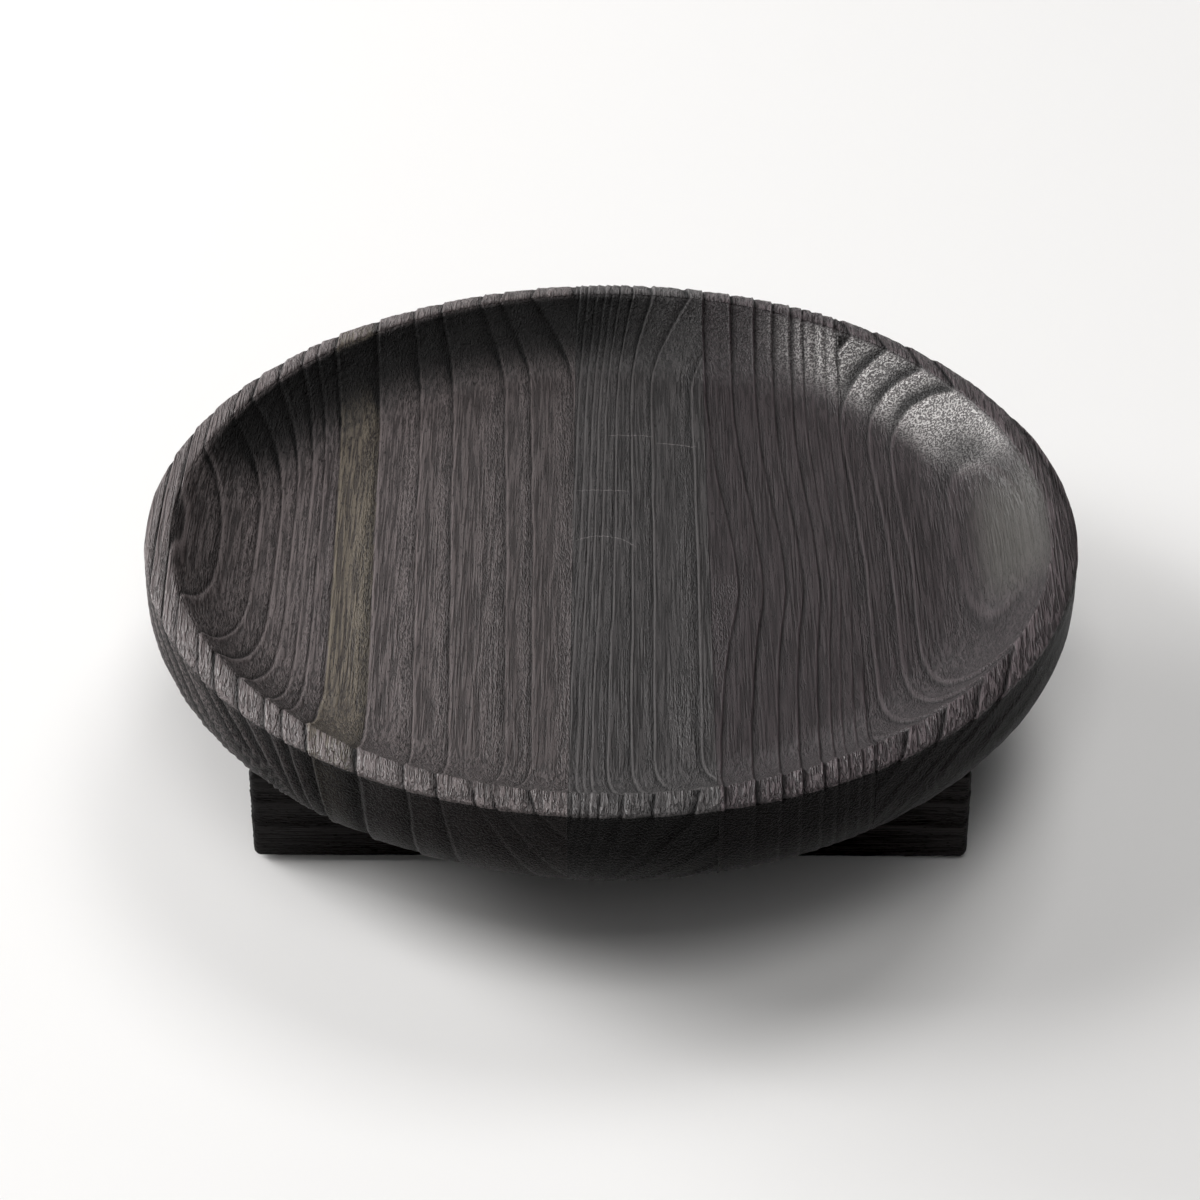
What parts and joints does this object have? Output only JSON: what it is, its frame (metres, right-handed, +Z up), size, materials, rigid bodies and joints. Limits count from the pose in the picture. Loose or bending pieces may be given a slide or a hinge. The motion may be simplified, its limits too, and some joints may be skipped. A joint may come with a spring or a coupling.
{
  "type": "footed wooden bowl",
  "caption": "Round shallow bowl carved from edge-glued charred wood boards, standing on two runner feet that are screwed on from below.",
  "frame": {"origin": "centre of the footprint on the surface that the bowl stands on", "axes": "+Z up, through the middle of the mouth; grain of the boards along Y, front at -Y; runners along X"},
  "size_m": [0.4559, 0.456, 0.125],
  "materials": {
    "charred_wood": "wire-brushed, charred black, dry satin with raised growth rings",
    "charred_wood_runner": "wire-brushed, charred black, dull, grain along the runner",
    "screw_steel": "zinc-plated, satin",
    "felt": "dense pressed felt, matt"
  },
  "bodies": {
    "root": {"left_board": "charred_wood", "middle_left_board": "charred_wood", "middle_right_board": "charred_wood", "right_board": "charred_wood", "front_runner": "charred_wood_runner", "rear_runner": "charred_wood_runner", "front_screw_1": "screw_steel", "front_screw_2": "screw_steel", "front_screw_3": "screw_steel", "front_screw_4": "screw_steel", "front_screw_5": "screw_steel", "rear_screw_1": "screw_steel", "rear_screw_2": "screw_steel", "rear_screw_3": "screw_steel", "rear_screw_4": "screw_steel", "rear_screw_5": "screw_steel", "front_left_pad": "felt", "front_right_pad": "felt", "rear_left_pad": "felt", "rear_right_pad": "felt"}
  },
  "joints": []
}
